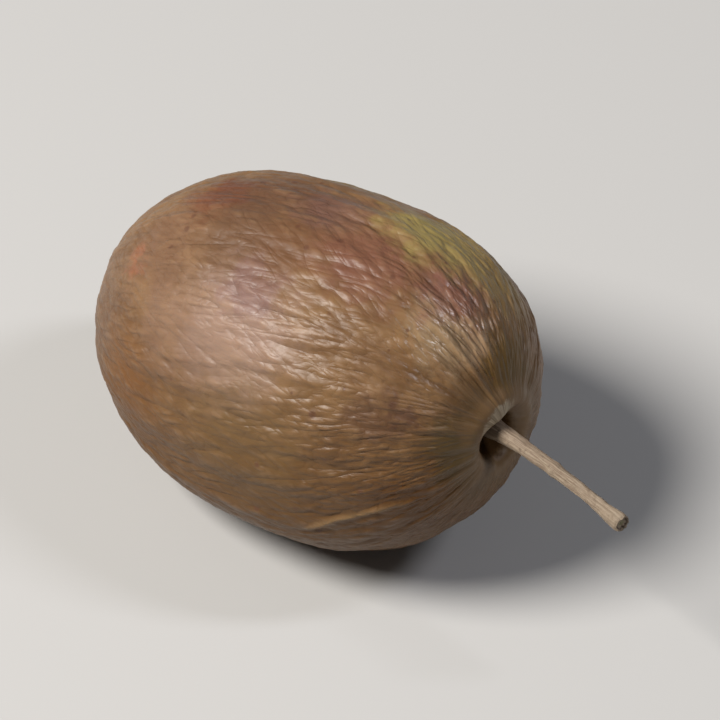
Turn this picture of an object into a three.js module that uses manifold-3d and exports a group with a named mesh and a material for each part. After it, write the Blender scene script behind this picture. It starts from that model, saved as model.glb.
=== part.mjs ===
// A kiwi berry as picked: the fruit, its slender stalk, and the dried styles at the blossom end.
// Millimetres, +Z up. The fruit lies on a small flat spot, with the origin in it below the
// fruit's weight, and its stalk end points to +X and a little up.
import * as THREE from "three";
import { mergeVertices } from "three/addons/utils/BufferGeometryUtils.js";
import Module from "manifold-3d";

const degrees = Math.PI / 180;

// The fruit's length and girth. A bluntness of 2 is an ellipse, and more is squarer.
const stalkHalf = 13.7;
const blossomHalf = 14.5;
const girthRadius = 10.0;
const stalkBluntness = 2.25;
const blossomBluntness = 2.2;

// How far its section is from round, as shares of the radius, and where it is widest.
const ovalShare = 0.025;
const ovalTurn = 217 * degrees;
const threeSidedShare = 0.03;
const threeSidedTurn = 108 * degrees;

// Where the fruit is fuller than an even egg: one shoulder, and the belly that it lies on.
const bulges = [
  { lift: 0.4, turn: 35 * degrees, along: 7.5, spread: 5.0 },
  { lift: 0.5, turn: 300 * degrees, along: 1.0, spread: 9.0 },
  { lift: 0.5, turn: 285 * degrees, along: 7.0, spread: 4.5 },
];

// The hollow that the stalk stands in lies to one side of it and has a raised lip, higher
// on the other side. The dent round the dried styles is shallow.
const hollowDepth = 1.9;
const hollowRadius = 1.75;
const hollowSteepness = 2.6;
const hollowOffset = 0.6;
const hollowTurn = 225 * degrees;
const lipHeight = 0.3;
const lipRadius = 2.5;
const lipWidth = 0.6;
const lipTurn = 66 * degrees;
const dentDepth = 0.55;
const dentRadius = 1.4;

// Lengthwise folds of the shrunken skin. Each set has its own count round the fruit,
// and they wander sideways and pucker round the stalk's hollow.
const foldCounts = [7, 12, 17, 23];
const foldDepth = 0.15;
const foldWander = 0.9;
const wanderPerMillimetre = 0.19;
const wanderStep = 1.7;
const puckerDepth = 0.29;
const puckerRadius = 3.1;
const puckerSpread = 1.5;

// How the fruit lies: the rise of its stalk end, how much the flat spot takes off it, and the
// spot's three corners. Past its sides the skin rises by a slight slope.
const lieTilt = 10.1 * degrees;
const flatDepth = 0.6;
const spotCorners = [
  [-0.2, -4.0],
  [2.5, 1.2],
  [-2.8, 2.0],
];
const spotSlope = 4 * degrees;

// The stalk, from its foot in the hollow to its cut end.
const stalkLean = new THREE.Vector3(0.984, -0.152, 0.03);
const stalkBow = 0.3;
const stalkRise = 0.25;
// Distance from the foot, and radius there.
const stalkProfile = [
  [0.0, 0.45],
  [0.15, 0.6],
  [0.45, 0.66],
  [0.9, 0.6],
  [1.5, 0.53],
  [2.4, 0.47],
  [4.2, 0.41],
  [5.3, 0.4],
  [5.8, 0.47],
  [6.3, 0.41],
  [8.2, 0.38],
  [10.0, 0.42],
  [10.9, 0.53],
  [11.35, 0.54],
  [11.5, 0.44],
];

// The dried styles: a small disc with curling threads. A pair is a least and a greatest value.
const discRadius = 0.75;
const discHeight = 0.45;
const threadCount = 16;
const threadRadius = 0.13;
const threadLength = [0.9, 1.6];
const threadRoot = [0.19, 0.56];
const threadSplay = [0.2, 0.75];
const threadCurl = [0.3, 0.75];
const threadSide = [-0.4, 0.4];
const threadRise = 0.25;
const threadSeed = 31;

// Space left between neighbouring pieces.
const seat = 0.3;

// How finely each piece is divided.
const fruitColumns = 92;
const fruitRows = 42;
const endCrowding = 0.5;
const stalkSides = 12;
const stalkRings = 30;
const discSides = 14;
const threadSides = 5;
const threadBends = 3;
const threadSteps = 6;

const skinMaterial = new THREE.MeshStandardMaterial({
  color: 0x8a6a3f,
  roughness: 0.55,
  metalness: 0,
});
const stalkMaterial = new THREE.MeshStandardMaterial({
  color: 0xa98c74,
  roughness: 0.75,
  metalness: 0,
});
const styleMaterial = new THREE.MeshStandardMaterial({
  color: 0x4a3420,
  roughness: 0.9,
  metalness: 0,
});

// Draws numbers between a least and a greatest value, the same ones each run.
function seededDraw(seed) {
  let state = seed;
  return ([least, greatest]) => {
    state = (state * 1664525 + 1013904223) % 4294967296;
    return least + ((greatest - least) * state) / 4294967296;
  };
}

// A bump of height 1 that fades with distance, and faster where it is steeper.
function fade(distance, spread, steepness = 2) {
  return Math.exp(-(Math.abs(distance / spread) ** steepness));
}

// Half the fruit's outline, from the blossom end at -X to the stalk end at +X.
function outlinePoint(share) {
  const crowd = (endCrowding * Math.sin(2 * Math.PI * share)) / (2 * Math.PI);
  const turn = Math.PI * (share - crowd);
  const atStalk = turn > Math.PI / 2;
  const bluntness = atStalk ? stalkBluntness : blossomBluntness;
  const half = atStalk ? stalkHalf : -blossomHalf;
  const radius = girthRadius * Math.max(Math.sin(turn), 0) ** (2 / bluntness);
  const along = half * Math.abs(Math.cos(turn)) ** (2 / bluntness);
  return new THREE.Vector2(share === 0 || share === 1 ? 0 : radius, along);
}

// How far the hollow, its lip and the dent move the skin along the fruit's axis.
function endRelief(along, across, up) {
  if (along < 0) return dentDepth * fade(Math.hypot(across, up), dentRadius);
  const acrossHollow = across - hollowOffset * Math.cos(hollowTurn);
  const upHollow = up - hollowOffset * Math.sin(hollowTurn);
  const radius = Math.hypot(acrossHollow, upHollow);
  const facing = 0.5 + 0.5 * Math.cos(Math.atan2(upHollow, acrossHollow) - lipTurn);
  const lip = lipHeight * facing * fade(radius - lipRadius, lipWidth);
  return lip - hollowDepth * fade(radius, hollowRadius, hollowSteepness);
}

// How far the folds lift the skin at a place on the fruit.
function foldLift(along, radius, round) {
  const fullness = Math.min(radius / girthRadius, 1);
  const nearStalk = along > 0 ? fade(radius - puckerRadius, puckerSpread) : 0;
  const depth = (foldDepth + puckerDepth * nearStalk) * Math.sqrt(fullness);
  let lift = 0;
  foldCounts.forEach((count, set) => {
    const phase = wanderPerMillimetre * along + wanderStep * set + 2 * round;
    const turn = count * round + foldWander * Math.sin(phase) + set * set;
    lift += Math.sin(turn) / Math.sqrt(count);
  });
  return depth * lift;
}

// How far the fuller places lift the skin.
function bulgeLift(along, round) {
  let lift = 0;
  for (const bulge of bulges) {
    const facing = Math.max(Math.cos(round - bulge.turn), 0) ** 2;
    lift += bulge.lift * facing * fade(along - bulge.along, bulge.spread);
  }
  return lift;
}

// The lathed outline made a little oval and three-sided, with its bulges and folds.
function fruitGeometry() {
  const outline = [];
  for (let row = 0; row <= fruitRows; row += 1) {
    outline.push(outlinePoint(row / fruitRows));
  }
  const geometry = new THREE.LatheGeometry(outline, fruitColumns);
  geometry.rotateZ(-Math.PI / 2);
  const place = geometry.getAttribute("position");
  for (let i = 0; i < place.count; i += 1) {
    const along = place.getX(i);
    const radius = Math.hypot(place.getY(i), place.getZ(i));
    const round = Math.atan2(place.getZ(i), place.getY(i));
    const fullness = Math.min(radius / girthRadius, 1);
    const oval = ovalShare * Math.cos(2 * (round - ovalTurn));
    const sides = threeSidedShare * Math.cos(3 * (round - threeSidedTurn));
    const shaped = radius * (1 + oval + sides * fullness);
    const lift = bulgeLift(along, round) * fullness + foldLift(along, radius, round);
    const across = (shaped + lift) * Math.cos(round);
    const up = (shaped + lift) * Math.sin(round);
    place.setXYZ(i, along + endRelief(along, across, up), across, up);
  }
  return geometry;
}

const wasm = await Module();
wasm.setup();

function solidFrom(geometry) {
  const bare = geometry.clone();
  bare.deleteAttribute("normal");
  bare.deleteAttribute("uv");
  const merged = mergeVertices(bare, 1e-4);
  return new wasm.Manifold(
    new wasm.Mesh({
      numProp: 3,
      vertProperties: new Float32Array(merged.attributes.position.array),
      triVerts: new Uint32Array(merged.index.array),
    }),
  );
}

function geometryFrom(solid) {
  const mesh = solid.getMesh();
  const geometry = new THREE.BufferGeometry();
  geometry.setAttribute(
    "position",
    new THREE.BufferAttribute(new Float32Array(mesh.vertProperties), 3),
  );
  geometry.setIndex(new THREE.BufferAttribute(new Uint32Array(mesh.triVerts), 1));
  geometry.computeVertexNormals();
  return geometry;
}

// The centre of mass of a closed surface, as the sum of the wedges under its triangles.
function centreOfMass(geometry) {
  const place = geometry.getAttribute("position");
  const centre = new THREE.Vector3();
  const corners = [new THREE.Vector3(), new THREE.Vector3(), new THREE.Vector3()];
  let volume = 0;
  for (let i = 0; i < geometry.index.count; i += 3) {
    corners.forEach((corner, k) => corner.fromBufferAttribute(place, geometry.index.getX(i + k)));
    const [a, b, c] = corners;
    const wedge = a.dot(b.clone().cross(c)) / 6;
    centre.addScaledVector(a.clone().add(b).add(c), wedge / 4);
    volume += wedge;
  }
  return centre.divideScalar(volume);
}

// A large block below a plane through a point.
function blockBelow(point, upward) {
  const span = 4 * (stalkHalf + blossomHalf);
  const block = new THREE.BoxGeometry(span, span, span);
  block.translate(0, 0, -span / 2);
  const turn = new THREE.Quaternion();
  turn.setFromUnitVectors(new THREE.Vector3(0, 0, 1), upward);
  block.applyQuaternion(turn);
  block.translate(point.x, point.y, point.z);
  return solidFrom(block);
}

// Turns the fruit to the way it lies, sets its weight over the origin and cuts the flat spot.
function layDown(geometry) {
  geometry.rotateY(-lieTilt);
  geometry.computeBoundingBox();
  const weight = centreOfMass(geometry);
  const fruitCentre = new THREE.Vector3(
    -weight.x,
    -weight.y,
    -geometry.boundingBox.min.z - flatDepth,
  );
  geometry.translate(fruitCentre.x, fruitCentre.y, fruitCentre.z);
  const up = new THREE.Vector3(0, 0, 1);
  let laid = solidFrom(geometry).subtract(blockBelow(new THREE.Vector3(), up));
  const corners = spotCorners.map(([x, y]) => new THREE.Vector3(x, y, 0));
  corners.forEach((corner, i) => {
    const side = corners[(i + 1) % corners.length].clone().sub(corner).normalize();
    const upward = up.clone().applyAxisAngle(side, -spotSlope);
    laid = laid.subtract(blockBelow(corner, upward));
  });
  return { laid: geometryFrom(laid), fruitCentre };
}

// A lathed rod of changing thickness, bent along a shallow bow.
function stalkGeometry() {
  const stalkLength = stalkProfile.at(-1)[0];
  const thickness = new THREE.SplineCurve(
    stalkProfile.map(([along, radius]) => new THREE.Vector2(radius, along)),
  );
  const outline = thickness.getPoints(stalkRings);
  outline.unshift(new THREE.Vector2(0, 0));
  outline.push(new THREE.Vector2(0, stalkLength));
  const geometry = new THREE.LatheGeometry(outline, stalkSides);
  const place = geometry.getAttribute("position");
  for (let i = 0; i < place.count; i += 1) {
    const share = place.getY(i) / stalkLength;
    place.setZ(i, place.getZ(i) + stalkBow * Math.sin(Math.PI * share));
  }
  return geometry;
}

// A thin thread that stands out from the disc and curls back.
function threadGeometry(draw, turn) {
  const reach = draw(threadLength);
  const splay = draw(threadSplay);
  const curl = draw(threadCurl);
  const side = draw(threadSide);
  const root = draw(threadRoot);
  const points = [];
  for (let bend = 0; bend <= threadBends; bend += 1) {
    const share = bend / threadBends;
    const lean = splay + curl * share;
    const out = root + reach * share * Math.sin(lean);
    const up = threadRise + reach * share * Math.cos(lean);
    const round = turn + side * share;
    points.push(new THREE.Vector3(-up, out * Math.cos(round), out * Math.sin(round)));
  }
  const section = new THREE.Shape(
    new THREE.EllipseCurve(0, 0, threadRadius, threadRadius).getPoints(threadSides),
  );
  return new THREE.ExtrudeGeometry(section, {
    steps: threadSteps,
    extrudePath: new THREE.CatmullRomCurve3(points),
  });
}

// The disc and its threads, fused. It faces -X, with its underside at x = 0.
function styleGeometry() {
  const draw = seededDraw(threadSeed);
  const disc = new THREE.LatheGeometry(
    [
      new THREE.Vector2(0, 0),
      new THREE.Vector2(discRadius * 0.8, 0),
      new THREE.Vector2(discRadius, discHeight * 0.4),
      new THREE.Vector2(discRadius * 0.7, discHeight * 0.85),
      new THREE.Vector2(0, discHeight),
    ],
    discSides,
  );
  disc.rotateZ(Math.PI / 2);
  const spacing = (2 * Math.PI) / threadCount;
  let tuft = solidFrom(disc);
  for (let i = 0; i < threadCount; i += 1) {
    const turn = spacing * (i + draw([0, 0.7]));
    tuft = tuft.add(solidFrom(threadGeometry(draw, turn)));
  }
  return geometryFrom(tuft);
}

function piece(name, geometry, material) {
  const mesh = new THREE.Mesh(geometry, material);
  mesh.name = name;
  return mesh;
}

const { laid, fruitCentre } = layDown(fruitGeometry());

const kiwiBerry = new THREE.Group();
kiwiBerry.add(piece("berry", laid, skinMaterial));

// The stalk and the dried styles stand on the fruit's own axis.
const fruitAxis = new THREE.Group();
fruitAxis.position.copy(fruitCentre);
fruitAxis.rotation.y = -lieTilt;
kiwiBerry.add(fruitAxis);

const stalk = piece("stalk", stalkGeometry(), stalkMaterial);
stalk.position.x = stalkHalf - hollowDepth + stalkRise + seat;
const leanOnAxis = stalkLean.clone().applyAxisAngle(new THREE.Vector3(0, 1, 0), lieTilt);
stalk.quaternion.setFromUnitVectors(new THREE.Vector3(0, 1, 0), leanOnAxis.normalize());
fruitAxis.add(stalk);

const styles = piece("style_remnants", styleGeometry(), styleMaterial);
styles.position.x = -(blossomHalf - dentDepth + seat);
fruitAxis.add(styles);

export default kiwiBerry;
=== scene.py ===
import math

import bpy
import numpy as np
from mathutils import Matrix, Vector


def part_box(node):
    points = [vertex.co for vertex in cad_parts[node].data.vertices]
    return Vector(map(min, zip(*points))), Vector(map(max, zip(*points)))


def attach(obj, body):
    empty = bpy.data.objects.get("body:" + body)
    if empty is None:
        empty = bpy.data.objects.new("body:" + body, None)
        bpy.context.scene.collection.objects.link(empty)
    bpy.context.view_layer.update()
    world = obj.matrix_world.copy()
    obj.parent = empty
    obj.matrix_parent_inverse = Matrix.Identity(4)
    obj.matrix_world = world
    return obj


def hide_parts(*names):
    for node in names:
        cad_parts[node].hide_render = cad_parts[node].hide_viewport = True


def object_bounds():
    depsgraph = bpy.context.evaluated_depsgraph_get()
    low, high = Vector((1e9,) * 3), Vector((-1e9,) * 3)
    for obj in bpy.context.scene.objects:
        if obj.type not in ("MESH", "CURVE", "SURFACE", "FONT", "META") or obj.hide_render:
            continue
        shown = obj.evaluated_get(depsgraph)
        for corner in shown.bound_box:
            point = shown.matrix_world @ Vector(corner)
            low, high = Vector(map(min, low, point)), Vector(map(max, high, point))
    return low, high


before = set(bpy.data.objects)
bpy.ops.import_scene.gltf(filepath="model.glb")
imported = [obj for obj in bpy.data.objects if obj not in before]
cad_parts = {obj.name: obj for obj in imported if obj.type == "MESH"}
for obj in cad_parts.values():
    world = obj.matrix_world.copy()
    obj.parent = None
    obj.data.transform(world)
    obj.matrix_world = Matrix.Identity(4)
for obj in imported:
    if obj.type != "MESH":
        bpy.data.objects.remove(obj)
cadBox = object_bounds()     # the model's own box, before anything is dressed

mm = 0.001               # places and sizes below are in millimetres
fullTurn = 2 * math.pi


# Stage: camera, floor and soft light

stageLook = {
    "azimuth": 38.7,             # degrees, 0 looks along +Y
    "elevation": 45.0,
    "lens": 800.0,               # long and far off, as flat as the photograph's view
    "pictureWidth": 42.0,        # what the picture takes in across the berry
    "floorRadius": 3000.0,
    "floorColour": "#b6b6b5",
    "roomColour": "#cfd2d6",
    "roomStrength": 0.10,
    "lamps": {
        "keySoftbox": {"toward": (-0.36, -0.52, 0.775), "away": 520, "size": (230, 210), "power": 4.3,
                       "colour": "#fffaf4"},
        "backStrip": {"toward": (0.49, 0.37, 0.76), "away": 500, "size": (60, 160), "power": 0.7,
                      "colour": "#f6f7ff"},
    },
}


def paint(code):                 # "#rrggbb" as the linear colour that Blender uses
    shares = [int(code[i:i + 2], 16) / 255 for i in (1, 3, 5)]
    return [s / 12.92 if s <= 0.04045 else ((s + 0.055) / 1.055) ** 2.4 for s in shares] + [1.0]


def viewAxes(azimuth, elevation):
    a, e = math.radians(azimuth), math.radians(elevation)
    right = Vector((math.cos(a), math.sin(a), 0))
    back = Vector((math.sin(a) * math.cos(e), -math.cos(a) * math.cos(e), math.sin(e)))
    return right, back.cross(right), back


def middleOfView(right, up):     # the middle of what the camera sees of the model
    places = np.concatenate([
        np.array([v.co for v in node.data.vertices]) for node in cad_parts.values()
    ])
    middle = Vector((0, 0, 0))
    for axis in (right, up):
        reach = places @ np.array(axis)
        middle += axis * (reach.min() + reach.max()) / 2
    return middle


def aimAt(item, spot, back):
    item.rotation_mode = "QUATERNION"
    item.rotation_quaternion = (-back).to_track_quat("-Z", "Y")
    item.location = spot


def addCamera(look):
    right, up, back = viewAxes(look["azimuth"], look["elevation"])
    data = bpy.data.cameras.new("berryCamera")
    data.lens = look["lens"]
    away = look["pictureWidth"] * mm * data.lens / data.sensor_width
    data.clip_start, data.clip_end = 0.05, 10
    camera = bpy.data.objects.new("berryCamera", data)
    bpy.context.collection.objects.link(camera)
    aimAt(camera, middleOfView(right, up) + back * away, back)
    bpy.context.scene.camera = camera


def addLamp(name, lamp, target):
    data = bpy.data.lights.new(name, "AREA")
    data.shape = "ELLIPSE"
    data.size, data.size_y = lamp["size"][0] * mm, lamp["size"][1] * mm
    data.energy = lamp["power"]
    data.color = paint(lamp["colour"])[:3]
    item = bpy.data.objects.new(name, data)
    bpy.context.collection.objects.link(item)
    toward = Vector(lamp["toward"]).normalized()
    aimAt(item, target + toward * lamp["away"] * mm, toward)


def addFloor(look):
    ringSteps = 96
    turns = np.arange(ringSteps) * fullTurn / ringSteps
    radius = look["floorRadius"] * mm
    rim = [(radius * math.cos(t), radius * math.sin(t), cadBox[0].z) for t in turns]
    mesh = bpy.data.meshes.new("floor")
    mesh.from_pydata(rim, [], [list(range(ringSteps))])
    material = bpy.data.materials.new("pale floor")
    material.use_nodes = True
    surface = material.node_tree.nodes["Principled BSDF"]
    surface.inputs["Base Color"].default_value = paint(look["floorColour"])
    surface.inputs["Roughness"].default_value = 0.85
    mesh.materials.append(material)
    floor = bpy.data.objects.new("floor", mesh)
    bpy.context.collection.objects.link(floor)


def addRoomLight(look):
    world = bpy.data.worlds.new("soft room")
    world.use_nodes = True
    background = world.node_tree.nodes["Background"]
    background.inputs["Color"].default_value = paint(look["roomColour"])
    background.inputs["Strength"].default_value = look["roomStrength"]
    bpy.context.scene.world = world


def buildStage(look):
    addCamera(look)
    addFloor(look)
    addRoomLight(look)
    middle = (cadBox[0] + cadBox[1]) / 2
    for name, lamp in look["lamps"].items():
        addLamp(name, lamp, middle)
    bpy.context.scene.view_settings.view_transform = "Standard"
    print("stage: camera, floor and lamps")


# Small helpers for node trees

def feed(tree, socket, value):   # links a socket, or sets a plain value
    if isinstance(value, bpy.types.NodeSocket):
        tree.links.new(value, socket)
    else:
        socket.default_value = value


def addNode(tree, kind, sockets=None, **settings):
    node = tree.nodes.new(kind)
    for name, value in settings.items():
        setattr(node, name, value)
    for name, value in (sockets or {}).items():
        feed(tree, node.inputs[name], value)
    return node


def calc(tree, operation, *values):
    return addNode(tree, "ShaderNodeMath", dict(enumerate(values)), operation=operation).outputs[0]


def times(tree, a, b):
    return calc(tree, "MULTIPLY", a, b)


def plus(tree, a, b):
    return calc(tree, "ADD", a, b)


def minus(tree, a, b):
    return calc(tree, "SUBTRACT", a, b)


def combine(tree, x, y, z):
    return addNode(tree, "ShaderNodeCombineXYZ", {0: x, 1: y, 2: z}).outputs[0]


def vectorCalc(tree, operation, *values):
    node = addNode(tree, "ShaderNodeVectorMath", dict(enumerate(values)), operation=operation)
    return node.outputs["Value" if operation == "DISTANCE" else "Vector"]


def scaleBy(tree, vector, factor):
    node = addNode(tree, "ShaderNodeVectorMath", {0: vector, "Scale": factor}, operation="SCALE")
    return node.outputs["Vector"]


def ramp(tree, value, low, high, start=0.0, end=1.0, kind="SMOOTHSTEP"):
    sockets = {"Value": value, "From Min": low, "From Max": high, "To Min": start, "To Max": end}
    return addNode(tree, "ShaderNodeMapRange", sockets, interpolation_type=kind).outputs["Result"]


def mixColour(tree, share, under, over):
    node = addNode(tree, "ShaderNodeMix", data_type="RGBA")
    for place, value in ((0, share), (6, under), (7, over)):
        feed(tree, node.inputs[place], value)
    return node.outputs[2]


def noise(tree, vector, scale, seed=0.0, detail=2.0, roughness=0.5):
    sockets = {"Vector": vector, "W": seed, "Scale": scale, "Detail": detail, "Roughness": roughness}
    return addNode(tree, "ShaderNodeTexNoise", sockets, noise_dimensions="4D")


def newTree(name, kind, inputs, outputs):    # an input is a number to start from, or a kind of socket
    tree = bpy.data.node_groups.new(name, kind)
    for label, value in inputs.items():
        isNumber = not isinstance(value, str)
        socketKind = value if not isNumber else "Int" if isinstance(value, int) else "Float"
        socket = tree.interface.new_socket(label, in_out="INPUT", socket_type="NodeSocket" + socketKind)
        if isNumber:
            socket.default_value = value
    for label, socketKind in outputs.items():
        tree.interface.new_socket(label, in_out="OUTPUT", socket_type="NodeSocket" + socketKind)
    return tree, addNode(tree, "NodeGroupInput").outputs, addNode(tree, "NodeGroupOutput").inputs


def useGroup(tree, group, sockets):
    kind = "ShaderNodeGroup" if tree.type == "SHADER" else "GeometryNodeGroup"
    node = tree.nodes.new(kind)
    node.node_tree = group
    for name, value in sockets.items():
        feed(tree, node.inputs[name], value)
    return node.outputs


def readAttribute(tree, name, kind="FLOAT"):
    if tree.type == "SHADER":
        node = addNode(tree, "ShaderNodeAttribute", attribute_name=name)
        return node.outputs["Vector" if kind == "FLOAT_VECTOR" else "Fac"]
    node = addNode(tree, "GeometryNodeInputNamedAttribute", {"Name": name}, data_type=kind)
    return node.outputs["Attribute"]


def applyTree(item, tree, values):   # runs a Geometry Nodes tree once and keeps a plain mesh
    modifier = item.modifiers.new(tree.name, "NODES")
    modifier.node_group = tree
    for socket in tree.interface.items_tree:
        if socket.in_out == "INPUT" and socket.name in values:
            modifier[socket.identifier] = values[socket.name]
    evaluated = item.evaluated_get(bpy.context.evaluated_depsgraph_get())
    plain = bpy.data.meshes.new_from_object(evaluated)
    item.modifiers.clear()
    item.data = plain
    plain.name = item.name


def newShapeTree(name, settings, materialName):  # its settings and its material are named inputs
    inputs = {"Geometry": "Geometry", **settings, materialName: "Material"}
    return newTree(name, "GeometryNodeTree", inputs, {"Geometry": "Geometry"})


def liftSurface(tree, geometry, lift):
    normal = addNode(tree, "GeometryNodeInputNormal").outputs["Normal"]
    sockets = {"Geometry": geometry, "Offset": scaleBy(tree, normal, lift)}
    return addNode(tree, "GeometryNodeSetPosition", sockets).outputs["Geometry"]


def endTree(tree, result, geometry, material):   # every shape tree ends in one plain mesh
    whole = addNode(tree, "GeometryNodeRealizeInstances", {"Geometry": geometry}).outputs["Geometry"]
    sockets = {"Geometry": whole, "Material": material}
    finished = addNode(tree, "GeometryNodeSetMaterial", sockets).outputs["Geometry"]
    feed(tree, result["Geometry"], finished)


# Closed skins made of rings between two end points

def ringParameters(rows, columns):
    inner = np.arange(1, rows) / rows
    share = np.concatenate([[0], np.repeat(inner, columns), [1]])
    turn = np.concatenate([[0], np.tile(np.arange(columns) * fullTurn / columns, rows - 1), [0]])
    return share, turn


def ringFaces(rows, columns):
    grid = 1 + np.arange((rows - 1) * columns).reshape(rows - 1, columns)
    beside = np.roll(grid, -1, axis=1)
    last = 1 + (rows - 1) * columns
    faces = [(0, b, a) for a, b in zip(grid[0].tolist(), beside[0].tolist())]
    quads = np.stack([grid[:-1], beside[:-1], beside[1:], grid[1:]], axis=-1)
    faces += quads.reshape(-1, 4).tolist()
    faces += [(a, b, last) for a, b in zip(grid[-1].tolist(), beside[-1].tolist())]
    return faces


def skinObject(name, places, faces, attributes):
    mesh = bpy.data.meshes.new(name)
    mesh.from_pydata((places * mm).tolist(), [], faces)
    mesh.shade_smooth()
    for label, values in attributes.items():
        isVector = values.ndim == 2
        kind = "FLOAT_VECTOR" if isVector else "FLOAT"
        stored = mesh.attributes.new(label, kind, "POINT")
        stored.data.foreach_set("vector" if isVector else "value", values.astype(np.float32).ravel())
    item = bpy.data.objects.new(name, mesh)
    bpy.context.collection.objects.link(item)
    return item


def fade(distance, spread, steepness=2):
    return np.exp(-np.abs(distance / spread) ** steepness)


def smoothStep(value, low, high):
    share = np.clip((value - low) / (high - low), 0, 1)
    return share * share * (3 - 2 * share)


def facingShare(turn, toward):   # 1 on the side at that turn, 0 across from it
    return 0.5 + 0.5 * np.cos(turn - math.radians(toward))


# Fruit: the model's egg, bulges and folds in finer steps, its stalk hollow a little narrower

fruit = {
    "rows": 216, "columns": 440, "endCrowding": 0.16,
    "stalkHalf": 13.7, "blossomHalf": 14.5, "girthRadius": 10.0,
    "stalkBluntness": 2.25, "blossomBluntness": 2.2,
    "ovalShare": 0.025, "ovalTurn": 217,
    "threeSidedShare": 0.03, "threeSidedTurn": 108,
    "bulges": [
        {"lift": 0.4, "turn": 35, "along": 7.5, "spread": 5.0},
        {"lift": 0.5, "turn": 300, "along": 1.0, "spread": 9.0},
        {"lift": 0.5, "turn": 285, "along": 7.0, "spread": 4.5},
    ],
    "hollowDepth": 1.9, "hollowRadius": 1.45, "hollowSteepness": 3.0,
    "hollowOffset": 0.4, "hollowTurn": 255,
    "lipHeight": 0.3, "lipRadius": 2.5, "lipWidth": 0.6, "lipTurn": 66,
    "collarHeight": 1.0, "collarRadius": 0.8, "collarWidth": 0.8, "collarTurn": 106,
    "dentDepth": 0.55, "dentRadius": 1.4,
    "foldCounts": [7, 12, 17, 23], "foldDepth": 0.15,
    "foldWander": 0.9, "wanderPerMillimetre": 0.19, "wanderStep": 1.7,
    "puckerDepth": 0.29, "puckerRadius": 3.1, "puckerSpread": 1.5,
    "lieTilt": 10.1,
    "spotCorners": [(-0.2, -4.0), (2.5, 1.2), (-2.8, 2.0)], "spotSlope": 4,
    "floorSoftness": 0.14,
    "shadeTurn": 225,            # the side given painted shade, darker and browner
    "gatherTurn": 98,            # the side where the skin is gathered towards the stalk
}

# Single long creases: the stretch along, the turn at each end, how deep (below 0: raised), how wide
longCreases = [
    {"along": (5.4, 10.6), "turn": (208, 197), "depth": -0.12, "width": 0.24},
    {"along": (-6.5, 1.0), "turn": (154, 151), "depth": 0.12, "width": 0.5},
    {"along": (-2.0, 6.0), "turn": (125, 122), "depth": 0.09, "width": 0.45},
    {"along": (1.0, 9.5), "turn": (77, 80), "depth": 0.12, "width": 0.5},
    {"along": (1.5, 9.0), "turn": (178, 174), "depth": 0.10, "width": 0.45},
    {"along": (-8.0, 5.0), "turn": (18, 23), "depth": 0.13, "width": 0.5},
    {"along": (-9.0, 3.0), "turn": (332, 327), "depth": 0.12, "width": 0.5},
    {"along": (-10.0, 0.0), "turn": (242, 238), "depth": 0.13, "width": 0.5},
]

creaseForm = {
    "fadeLength": 1.2,           # how gradually both ends run out
    "wander": 0.05, "wanderPerMillimetre": 0.55,
    "grooveWidth": 0.7, "shoulderOff": 1.6, "shoulderWidth": 0.8, "creaseHighlightWidth": 0.8,    # in crease widths
    "shoulderShare": 0.45,       # how high its shoulders stand, as a share of its depth
}

# Zones of the skin, in millimetres from the hollow's middle or the axis: from where to where each
# fades out, and for the two bands how far off they lie and how wide they are
skinZones = {
    "mouth": (1.7, 2.9), "deep": (0.7, 2.0), "tip": (0.9, 2.6), "stalkEnd": (2.4, 5.8),
    "nearStalk": (1.5, 6.5), "nearBlossom": (3, 9.5),
    "crestOff": 1.55, "crestWidth": 0.6,
    "gatheredOff": 5.2, "gatheredWidth": 2.4,
}

skinRelief = {
    "Furrows Around": 34.0, "Furrow Depth": 0.10 * mm,
    "Wrinkles Around": 84.0, "Wrinkle Depth": 0.10 * mm,
    "Crossings Around": 84.0, "Crossing Depth": 0.07 * mm,
    "Nets Around": 120.0, "Net Depth": 0.05 * mm,
    "Puckers Around": 28.0, "Pucker Depth": 0.2 * mm,
    "Waviness": 0.5, "Seed": 4.0,
}


def creaseReach(crease, along, radius, turn):    # widths beside the crease, and how strong it is there
    line = np.radians(np.interp(along, crease["along"], crease["turn"]))
    sway = np.sin(creaseForm["wanderPerMillimetre"] * along + crease["turn"][0])
    off = np.angle(np.exp(1j * (turn - line - creaseForm["wander"] * sway)))
    start, end = crease["along"]
    run = creaseForm["fadeLength"]
    begun, ended = (smoothStep(along, place - run, place + run) for place in (start, end))
    return off * radius / crease["width"], begun * (1 - ended)


def creaseLift(along, radius, turn):
    lift = np.zeros_like(along)
    for crease in longCreases:
        beside, strength = creaseReach(crease, along, radius, turn)
        shoulders = fade(np.abs(beside) - creaseForm["shoulderOff"], creaseForm["shoulderWidth"])
        groove = fade(beside, creaseForm["grooveWidth"])
        lift += crease["depth"] * strength * (creaseForm["shoulderShare"] * shoulders - groove)
    return lift


def creaseHighlightLine(along, radius, turn):     # the pale line on a raised crease, a painted highlight along its top
    creaseHighlight = np.zeros_like(along)
    for crease in longCreases:
        if crease["depth"] < 0:
            beside, strength = creaseReach(crease, along, radius, turn)
            creaseHighlight = np.maximum(creaseHighlight, strength * fade(beside, creaseForm["creaseHighlightWidth"]))
    return creaseHighlight


def fruitOutline(form, share):   # radius and place along the axis, from blossom end to stalk end
    sweep = math.pi * (share - form["endCrowding"] * np.sin(fullTurn * share) / fullTurn)
    atStalk = sweep > math.pi / 2
    power = 2 / np.where(atStalk, form["stalkBluntness"], form["blossomBluntness"])
    half = np.where(atStalk, form["stalkHalf"], -form["blossomHalf"])
    radius = form["girthRadius"] * np.clip(np.sin(sweep), 0, 1) ** power
    along = half * np.abs(np.cos(sweep)) ** power
    return np.where((share == 0) | (share == 1), 0, radius), along


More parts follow.
